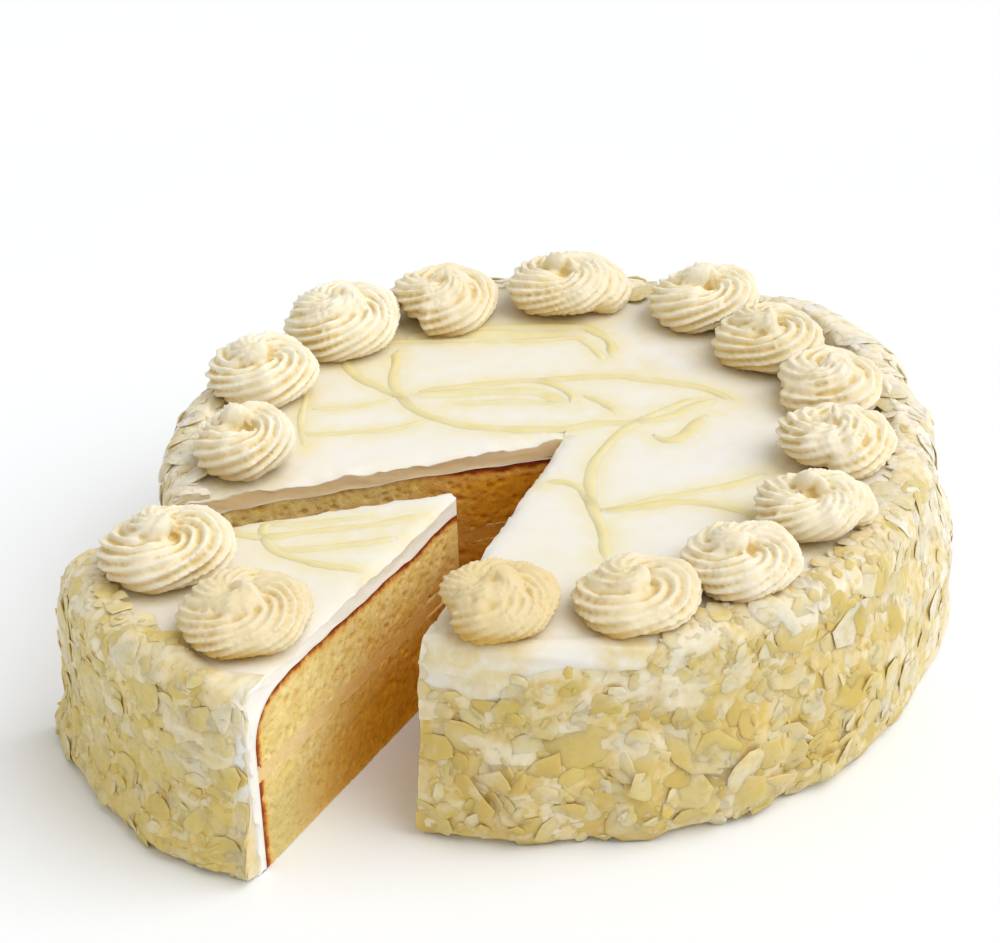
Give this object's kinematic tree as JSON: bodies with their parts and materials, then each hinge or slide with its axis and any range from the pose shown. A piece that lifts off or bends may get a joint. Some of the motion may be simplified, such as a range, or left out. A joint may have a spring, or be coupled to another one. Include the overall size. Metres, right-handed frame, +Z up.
{
  "type": "cannoli cake",
  "caption": "Round two-layer cream cake with white icing, piped rosettes on the rim, a coat of white shards on its side and one slice cut and partly drawn out.",
  "frame": {"origin": "middle of the whole outline seen from above, on the surface the cake rests on", "axes": "+Z up; -Y the side the cut slice is drawn out to, with the cut to the left of the middle, and +X to the right"},
  "size_m": [0.2686, 0.2584, 0.0793],
  "materials": {
    "sponge": "golden open-crumb sponge, matt",
    "cream_filling": "pale cream, soft satin",
    "icing": "white spread icing, satin",
    "white_shards": "thin ivory shards, satin",
    "rosette_cream": "ivory piped cream, satin"
  },
  "bodies": {
    "root": {"main_sponge_lower": "sponge", "main_cream_filling": "cream_filling", "main_sponge_upper": "sponge", "main_icing": "icing", "main_shard_coat": "white_shards", "slice_sponge_lower": "sponge", "slice_cream_filling": "cream_filling", "slice_sponge_upper": "sponge", "slice_icing": "icing", "slice_shard_coat": "white_shards", "rosette_01": "rosette_cream", "rosette_02": "rosette_cream", "rosette_03": "rosette_cream", "rosette_04": "rosette_cream", "rosette_05": "rosette_cream", "rosette_06": "rosette_cream", "rosette_07": "rosette_cream", "rosette_08": "rosette_cream", "rosette_09": "rosette_cream", "rosette_10": "rosette_cream", "rosette_11": "rosette_cream", "rosette_12": "rosette_cream", "rosette_13": "rosette_cream", "rosette_14": "rosette_cream", "rosette_15": "rosette_cream"}
  },
  "joints": []
}
